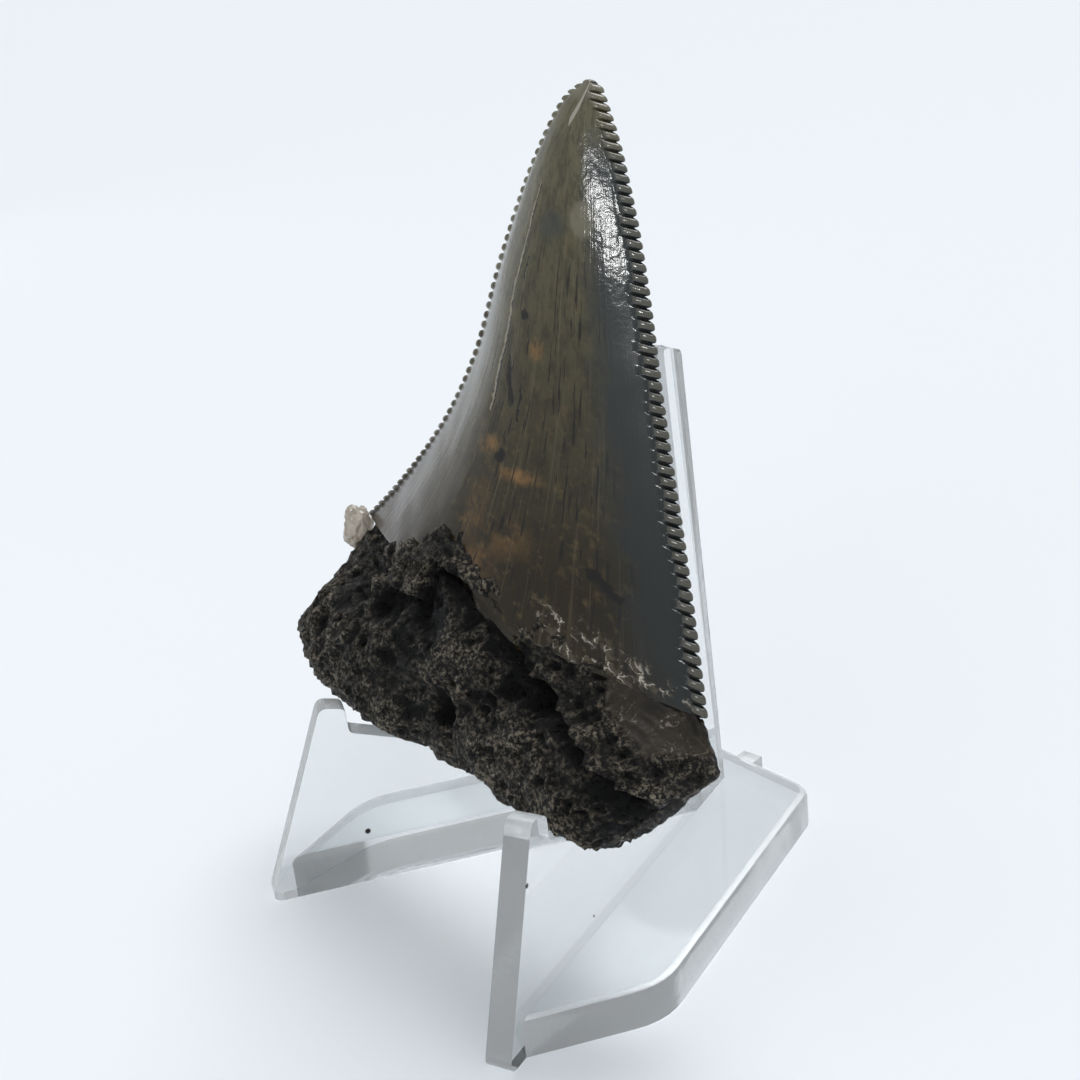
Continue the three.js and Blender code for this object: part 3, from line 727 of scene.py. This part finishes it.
def root_points(along, turn, lean):
    """Places on the root, how high each stands in the finest relief, and its share of worn enamel."""
    u = ROOT_ENDS[0] + (ROOT_ENDS[1] - ROOT_ENDS[0]) * along
    from_middle = np.abs(2 * along - 1)
    taper = np.sqrt(1 - from_middle ** END_TAPER_POWER)
    end_round = np.sqrt(1 - from_middle ** END_ROUND_POWER)
    bottom = height_at(ROOT_BOTTOM, u)
    line = height_at(ENAMEL_LINE, u)
    top = line + ROOT_TUCK * smoothstep(u, *TUCK_FADE[0]) * (1 - 0.5 * smoothstep(u, *TUCK_FADE[1]))
    cos, sin = np.cos(turn), np.sin(turn)
    front = cos > 0
    side = np.where(front, 1, -1)
    out = np.abs(cos) ** np.where(sin > 0, UPPER_SECTION_POWER, LOWER_SECTION_POWER)
    up = np.sign(sin) * np.abs(sin) ** HEIGHT_POWER
    v = (bottom + top) / 2 + (top - bottom) / 2 * end_round * up
    thinning = TOP_THINNING + (TOP_THINNING_RIGHT - TOP_THINNING) * smoothstep(u, *THINNING_RISE)
    middle = ROOT_DEPTHS["middle"] * (1 - thinning * smoothstep(v, top - TOP_THINNING_HEIGHT, top))
    half_depth = np.maximum(THINNEST_ROOT, side * (root_depth(u, v, front, taper) - middle))
    w = middle + side * half_depth * out
    calm = 1 - CALM_SHARE * smoothstep(v, top - CALM_HEIGHT[0], top - CALM_HEIGHT[1])
    # Lumps are drawn out along a slant, as the grain of the bone is.
    grain_u, grain_v, grain_w = u * 0.75 - v * 0.5, v * 1.1 + u * 0.35, w * 1.1
    coarse = sum(height * noise(u / size, v / size, w / size) for size, height in COARSE_LUMPS)
    fine = sum(
        height * (0.8 - 2 * np.abs(noise(grain_u / size, grain_v / size, grain_w / size)))
        for size, height in CRAGS)
    fine = fine + FINE_GRAIN[1] * noise(*(place / FINE_GRAIN[0] for place in (grain_u, grain_v, grain_w)))
    flutes = FLUTE_DEPTH * np.abs(np.sin(u / FLUTE_WIDTH * math.pi + noise(u / 2, v / 2, 3.0) * 2))
    at_flutes = smoothstep(u, *FLUTE_START) * (1 - smoothstep(u, *FLUTE_FINISH))
    at_flutes = at_flutes * smoothstep(v, line - FLUTE_LENGTH, line - FLUTE_LENGTH / 2)
    lump = calm * coarse + fine - flutes * at_flutes * front
    hollow = np.where(front, root_hollow(u, v) * smoothstep(out, 0, 0.5), 0)
    tongue = enamel_tongue(u, v) * front
    lump = lump * (1 - TONGUE_CALM * tongue) * end_round ** 2
    places = keep_clear_of_stand(u, v + lump * sin, w + lump * cos - hollow, lean)
    # Hollows under the ledge and in the pits count low, so the material paints them darker as painted shade.
    return places, fine / 0.4 + coarse * 0.6 - hollow * 0.85, tongue


def make_root(settings):
    along = (np.arange(1, ROOT_RINGS + 1) / (ROOT_RINGS + 1))[:, None]
    turn = (-2 * math.pi * np.arange(ROOT_COLUMNS) / ROOT_COLUMNS)[None, :]
    rings, standing, tongue = root_points(*np.broadcast_arrays(along, turn), settings.lean)
    ends = root_points(np.array([0.0, 1.0]), np.zeros(2), settings.lean)[0]
    ball = start_ball("root", ROOT_RINGS, ROOT_COLUMNS)
    piece = ball[0]
    places = shape_ball(ball, rings, ends[0], ends[1])
    set_value(piece, "relief", "FLOAT", shape_ball(ball, standing[:, :, None], 0, 0))
    set_value(piece, "tongue", "FLOAT", shape_ball(ball, tongue[:, :, None], 0, 0))
    set_places(piece, to_world(places, settings.lean))
    finish_piece(piece, root_material(settings), "fossil_tooth", "tooth")
    return piece


def root_material(settings):
    """Fossil root bone: porous, dull and nearly black, so it is rough and grainy to the eye, with painted
    shade in its hollows and under the ledge, grey-brown grain on what stands up that is partly real and
    partly painted light, and small glints off broken crystal faces."""
    material, tree, shader = new_material("fossil_root_bone")
    place = object_place_in_mm(tree)
    tongue = stored_value(tree, "tongue")
    grain = noise_texture(tree, place, 0.34, 6.0, 0.8)
    patch = noise_texture(tree, place, 4.0, 3.0)
    flecks = add_node(tree, "ShaderNodeTexVoronoi", None, {"Vector": place, "Scale": 1 / 0.26}).outputs
    fleck = add_node(tree, "ShaderNodeSeparateColor", None, {"Color": flecks["Color"]}).outputs
    # From the relief value the hollows and the ground under the ledge are painted darker as painted shade,
    # and the raised parts lighter with grain as painted light.
    high = remap(tree, stored_value(tree, "relief"), -0.4, 1.1)
    light_grain = remap(tree, grain["Fac"], 0.5, 0.56)
    patch_share = remap(tree, patch["Fac"], 0.38, 0.62, 0.2, 1.0)
    color = tint_all(tree, list(settings.root_hollow_shade) + [1], [
        (high, "#171614", 1.0),
        (all_of(tree, light_grain, high, patch_share), "#B3A793", 0.95),
        (all_of(tree, remap(tree, fleck["Green"], 0.9, 0.97), high), "#A39684", 0.6)])

    # Worn enamel lies over the bone at the right, with pale broken edges here and there.
    worn = tint(tree, linear_color("#14100A"), patch_share, linear_color("#302619"))
    color = tint(tree, color, tongue, worn, 0.9)
    warped = vector_math(tree, "MULTIPLY_ADD", patch["Color"], (2.5, 2.5, 2.5), place)["Vector"]
    warped = vector_math(tree, "MULTIPLY_ADD", grain["Color"], (0.5, 0.5, 0.5), warped)["Vector"]
    shard_edge = cell_edges(tree, warped, 1.0, 0.04, 0.01)
    broken = remap(tree, patch["Fac"], 0.5, 0.6)
    color = tint_all(tree, color, [(all_of(tree, shard_edge, tongue, broken, light_grain), "#C4BBA8", 0.9)])

    dull_or_glinting = remap(tree, fleck["Red"], 0.8, 0.9, 0.6, 0.12)
    roughness = add_node(tree, "ShaderNodeMix", {"data_type": "FLOAT"}, {
        "Factor": tongue, "A": dull_or_glinting, "B": 0.26}).outputs["Result"]
    facets = relief(tree, fleck["Red"], 0.7, 0.05)
    normal = relief(tree, grain["Fac"], remap(tree, tongue, 0.0, 1.0, 1.0, 0.25), 0.42, under=facets)
    tree.links.new(color, shader.inputs["Base Color"])
    tree.links.new(roughness, shader.inputs["Roughness"])
    tree.links.new(normal, shader.inputs["Normal"])
    shader.inputs["IOR"].default_value = 1.55
    # Porous bone gives back less light than a polished face would.
    shader.inputs["Specular IOR Level"].default_value = 0.22
    return material


# Chip of enamel at the left corner

def make_corner_chip(settings):
    clear_selection()
    bpy.ops.mesh.primitive_ico_sphere_add(subdivisions=5, radius=1, location=(0, 0, 0))
    piece = bpy.context.object
    piece.name = piece.data.name = "corner_chip"
    ball = get_places(piece)
    crags = 0.2 * noise(*(ball.T * 1.7)) + 0.12 * (1 - 2 * np.abs(noise(*(ball.T * 4.1))))
    ball = ball * (0.93 + crags)[:, None] * np.array(CHIP_SIZE)
    turn = np.array(Matrix.Rotation(-CHIP_TURN, 3, "Z"))
    set_places(piece, to_world(ball @ turn + np.array(CHIP_PLACE), settings.lean))
    finish_piece(piece, chip_material(), "fossil_tooth", "tooth")
    return piece


def chip_material():
    """Bare broken enamel: pale, glassy and a little see-through, so its edges glow amber."""
    material, tree, shader = new_material("broken_enamel")
    cloud = noise_texture(tree, object_place_in_mm(tree), 0.9, 4.0)["Fac"]
    color = tint(tree, linear_color("#8A7456"), cloud, linear_color("#F0EADF"))
    tree.links.new(color, shader.inputs["Base Color"])
    shader.inputs["Roughness"].default_value = 0.2
    shader.inputs["IOR"].default_value = 1.6
    shader.inputs["Transmission Weight"].default_value = 0.35
    return material


# Stand

# Each speck of dirt is a place and a radius.
SPECKS = [((-11.25, -28.76, 4.56), 0.3), ((14.58, -31.37, 12.11), 0.22), ((11.31, -23.66, 4.41), 0.14)]
BROAD_AREA = 60
BROAD_ALIGNMENT = 0.99


def make_stand(settings):
    """The clear stand: the frame's own solid with its flat faces joined and its edges rounded."""
    clear_selection()
    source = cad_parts["stand"]
    piece = bpy.data.objects.new("clear_stand", source.data.copy())
    bpy.context.scene.collection.objects.link(piece)
    piece.data.name = "clear_stand"
    piece.matrix_world = source.matrix_world
    piece.select_set(True)
    bpy.context.view_layer.objects.active = piece
    bpy.ops.object.transform_apply(location=True, rotation=True, scale=True)
    bpy.ops.object.mode_set(mode="EDIT")
    bpy.ops.mesh.select_all(action="SELECT")
    bpy.ops.mesh.remove_doubles(threshold=0.002 * MM)
    bpy.ops.mesh.dissolve_limited(angle_limit=math.radians(1.5))
    bpy.ops.object.mode_set(mode="OBJECT")
    bevel = piece.modifiers.new("rounded edges", "BEVEL")
    bevel.width = settings.edge_radius
    bevel.segments = 3
    bevel.limit_method = "ANGLE"
    bevel.angle_limit = math.radians(38)
    bpy.ops.object.modifier_apply(modifier=bevel.name)
    mark_edge_faces(piece)
    finish_piece(piece, clear_plastic(), "clear_plastic", "stand")
    piece.select_set(True)
    bpy.context.view_layer.objects.active = piece
    bpy.ops.object.shade_smooth_by_angle(angle=math.radians(30))
    flat = piece.modifiers.new("flat faces", "WEIGHTED_NORMAL")
    flat.weight = 100
    flat.keep_sharp = True
    bpy.ops.object.modifier_apply(modifier=flat.name)
    clear_selection()
    # Light reaches the floor through the clear plastic, which a render would otherwise lose.
    piece.visible_shadow = False
    return piece


def mark_edge_faces(piece):
    """Marks the narrow faces of the stand, which come out of the mould less polished than the broad ones."""
    broad = [Vector((math.cos(WING_TURN), side * math.sin(WING_TURN), 0)) for side in (1, -1)]
    broad.append(Vector((0, 0, 1)))
    narrow = [
        float(
            max(abs(face.normal.dot(way)) for way in broad) < BROAD_ALIGNMENT
            or face.area < BROAD_AREA * MM ** 2)
        for face in piece.data.polygons]
    piece.data.attributes.new("narrow", "FLOAT", "FACE").data.foreach_set("value", narrow)


def clear_plastic():
    """Clear moulded styrene: glassy and colourless on its broad faces, and faintly frosted on its narrow
    ones, so that only edges and rims show, as grey and white. Three specks of dirt lie on it."""
    material, tree, shader = new_material("clear_styrene")
    place = object_place_in_mm(tree)
    narrow = stored_value(tree, "narrow")
    # The broad tops of the flanges, which are thicker than the wings, are painted a little greyer: painted
    # shade for the shadow under them that shows through the plastic.
    height = add_node(tree, "ShaderNodeSeparateXYZ", None, {"Vector": place}).outputs["Z"]
    low = remap(tree, height, 2.9, 3.3, 1.0, 0.0)
    shaded_flange_top = all_of(tree, low, calculate(tree, "SUBTRACT", 1.0, narrow))
    color = tint(tree, linear_color("#F4F6F7"), shaded_flange_top, linear_color("#DBDEDF"))
    clear = remap(tree, narrow, 0.0, 1.0, 0.96, 0.64)
    for centre, radius in SPECKS:
        speck = spot(tree, place, centre, (radius,) * 3, 0.4)
        color = tint(tree, color, speck, linear_color("#0A0A0A"))
        clear = calculate(tree, "SUBTRACT", clear, speck, clamp=True)
    ripple = noise_texture(tree, place, 0.7, 3.0)["Fac"]
    normal = relief(tree, ripple, remap(tree, narrow, 0.0, 1.0, 0.03, 0.9), 0.05)
    tree.links.new(color, shader.inputs["Base Color"])
    tree.links.new(clear, shader.inputs["Transmission Weight"])
    tree.links.new(remap(tree, narrow, 0.0, 1.0, 0.05, 0.2), shader.inputs["Roughness"])
    tree.links.new(normal, shader.inputs["Normal"])
    shader.inputs["IOR"].default_value = 1.49
    return material


# Stage

SUN_TURN = (math.radians(-28), math.radians(-18), 0)
FLOOR_GAP = 0.05
CAMERA_PLACE = (94.639, -85.354, 73.631)
CAMERA_TURN = math.radians(54.022)
CAMERA_DIP = math.radians(20.946)
CAMERA_ROLL = math.radians(-6.146)


def add_light(name, place, target, size, power):
    clear_selection()
    bpy.ops.object.light_add(type="AREA", location=[x * MM for x in place])
    light = bpy.context.object
    light.name = name
    light.data.shape = "RECTANGLE"
    light.data.size = size[0] * MM
    light.data.size_y = size[1] * MM
    light.data.energy = power
    aim = np.array(target, float) - np.array(place, float)
    light.rotation_euler = Vector(aim).to_track_quat("-Z", "Y").to_euler()
    return light


def make_stage(settings):
    clear_selection()
    bpy.ops.mesh.primitive_plane_add(size=settings.floor_size, location=(0, 0, -FLOOR_GAP * MM))
    floor = bpy.context.object
    floor.name = floor.data.name = "floor"
    material, tree, shader = new_material("matt_paper")
    shader.inputs["Base Color"].default_value = linear_color("#EEF2F6")
    shader.inputs["Roughness"].default_value = 0.9
    floor.data.materials.append(material)
    world = bpy.data.worlds.new("soft daylight")
    bpy.context.scene.world = world
    world.use_nodes = True
    tree = world.node_tree
    direction = add_node(tree, "ShaderNodeTexCoord").outputs["Generated"]
    height = add_node(tree, "ShaderNodeSeparateXYZ", None, {"Vector": direction}).outputs["Z"]
    glow = add_node(tree, "ShaderNodeMapRange", {"interpolation_type": "SMOOTHSTEP"}, {
        "Value": height, "From Min": 0.1, "From Max": 0.9, "To Min": 0.43, "To Max": 0.6})
    background = tree.nodes["Background"]
    background.inputs["Color"].default_value = linear_color("#F4F8FB")
    tree.links.new(glow.outputs["Result"], background.inputs["Strength"])
    key = add_light("key", (79, -352, 545), (0, -30, 45), (62, 44), 0.72)
    # The key only gives the glint on the enamel: the floor of the photo shows no hard shadow of it.
    key.visible_diffuse = False
    key.visible_transmission = False
    add_light("left_window", (-420, -30, 72), (0, -25, 35), (150, 150), 0.022)
    # The room in front of the stand lights its end faces, with no glint of its own.
    room = add_light("front_room", (150, -470, 120), (0, -30, 10), (320, 240), 0.4)
    room.visible_glossy = False
    room.visible_transmission = False
    bpy.ops.object.light_add(type="SUN", rotation=SUN_TURN)
    sun = bpy.context.object
    sun.name = "sky_glow"
    sun.data.energy = 1.8
    sun.data.angle = math.radians(38)
    # The stand casts no shadow, so light that also came through it would count twice.
    sun.visible_transmission = False
    bpy.context.scene.view_settings.view_transform = "Standard"
    camera_data = bpy.data.cameras.new("camera")
    camera_data.lens = settings.lens
    camera_data.sensor_width = 36
    camera = bpy.data.objects.new("camera", camera_data)
    bpy.context.scene.collection.objects.link(camera)
    camera.matrix_world = (
        Matrix.Translation([x * MM for x in CAMERA_PLACE])
        @ Matrix.Rotation(CAMERA_TURN, 4, "Z")
        @ Matrix.Rotation(math.pi / 2 - CAMERA_DIP, 4, "X")
        @ Matrix.Rotation(CAMERA_ROLL, 4, "Z"))
    bpy.context.scene.camera = camera


class MakeCrown(bpy.types.Operator):
    """Make the enamel crown with its serrated edges"""
    bl_idname = "fossil_tooth.make_crown"
    bl_label = "Make Crown"

    def execute(self, context):
        make_crown(context.scene.tooth_settings)
        return {"FINISHED"}


class MakeRoot(bpy.types.Operator):
    """Make the lumpy root with its ledge and pits"""
    bl_idname = "fossil_tooth.make_root"
    bl_label = "Make Root"

    def execute(self, context):
        make_root(context.scene.tooth_settings)
        return {"FINISHED"}


class MakeCornerChip(bpy.types.Operator):
    """Make the chip of bare enamel at the left corner of the crown"""
    bl_idname = "fossil_tooth.make_corner_chip"
    bl_label = "Make Corner Chip"

    def execute(self, context):
        make_corner_chip(context.scene.tooth_settings)
        return {"FINISHED"}


class MakeStand(bpy.types.Operator):
    """Make the clear moulded stand"""
    bl_idname = "fossil_tooth.make_stand"
    bl_label = "Make Stand"

    def execute(self, context):
        make_stand(context.scene.stand_settings)
        return {"FINISHED"}


class MakeStage(bpy.types.Operator):
    """Make the floor, the lights and the camera"""
    bl_idname = "fossil_tooth.make_stage"
    bl_label = "Make Stage"

    def execute(self, context):
        make_stage(context.scene.stage_settings)
        return {"FINISHED"}


class FossilToothPanel(bpy.types.Panel):
    """Lists the pieces of the tooth and its stand"""
    bl_idname = "VIEW3D_PT_fossil_tooth"
    bl_label = "Fossil Tooth"
    bl_space_type = "VIEW_3D"
    bl_region_type = "UI"
    bl_category = "Fossil Tooth"

    def draw(self, context):
        for operator in OPERATORS:
            self.layout.operator(operator.bl_idname)
        for name in SETTINGS:
            settings = getattr(context.scene, name)
            for key in settings.__annotations__:
                self.layout.prop(settings, key)


SETTINGS = {"tooth_settings": ToothSettings, "stand_settings": StandSettings, "stage_settings": StageSettings}
OPERATORS = [MakeStage, MakeCrown, MakeRoot, MakeCornerChip, MakeStand]


def register():
    for cls in [*SETTINGS.values(), *OPERATORS, FossilToothPanel]:
        bpy.utils.register_class(cls)
    for name, cls in SETTINGS.items():
        setattr(bpy.types.Scene, name, PointerProperty(type=cls))


def unregister():
    for name in SETTINGS:
        delattr(bpy.types.Scene, name)
    for cls in reversed([*SETTINGS.values(), *OPERATORS, FossilToothPanel]):
        bpy.utils.unregister_class(cls)


def main():
    register()
    bpy.ops.fossil_tooth.make_stage()
    bpy.ops.fossil_tooth.make_crown()
    bpy.ops.fossil_tooth.make_root()
    bpy.ops.fossil_tooth.make_corner_chip()
    bpy.ops.fossil_tooth.make_stand()


if __name__ == "__main__":
    main()
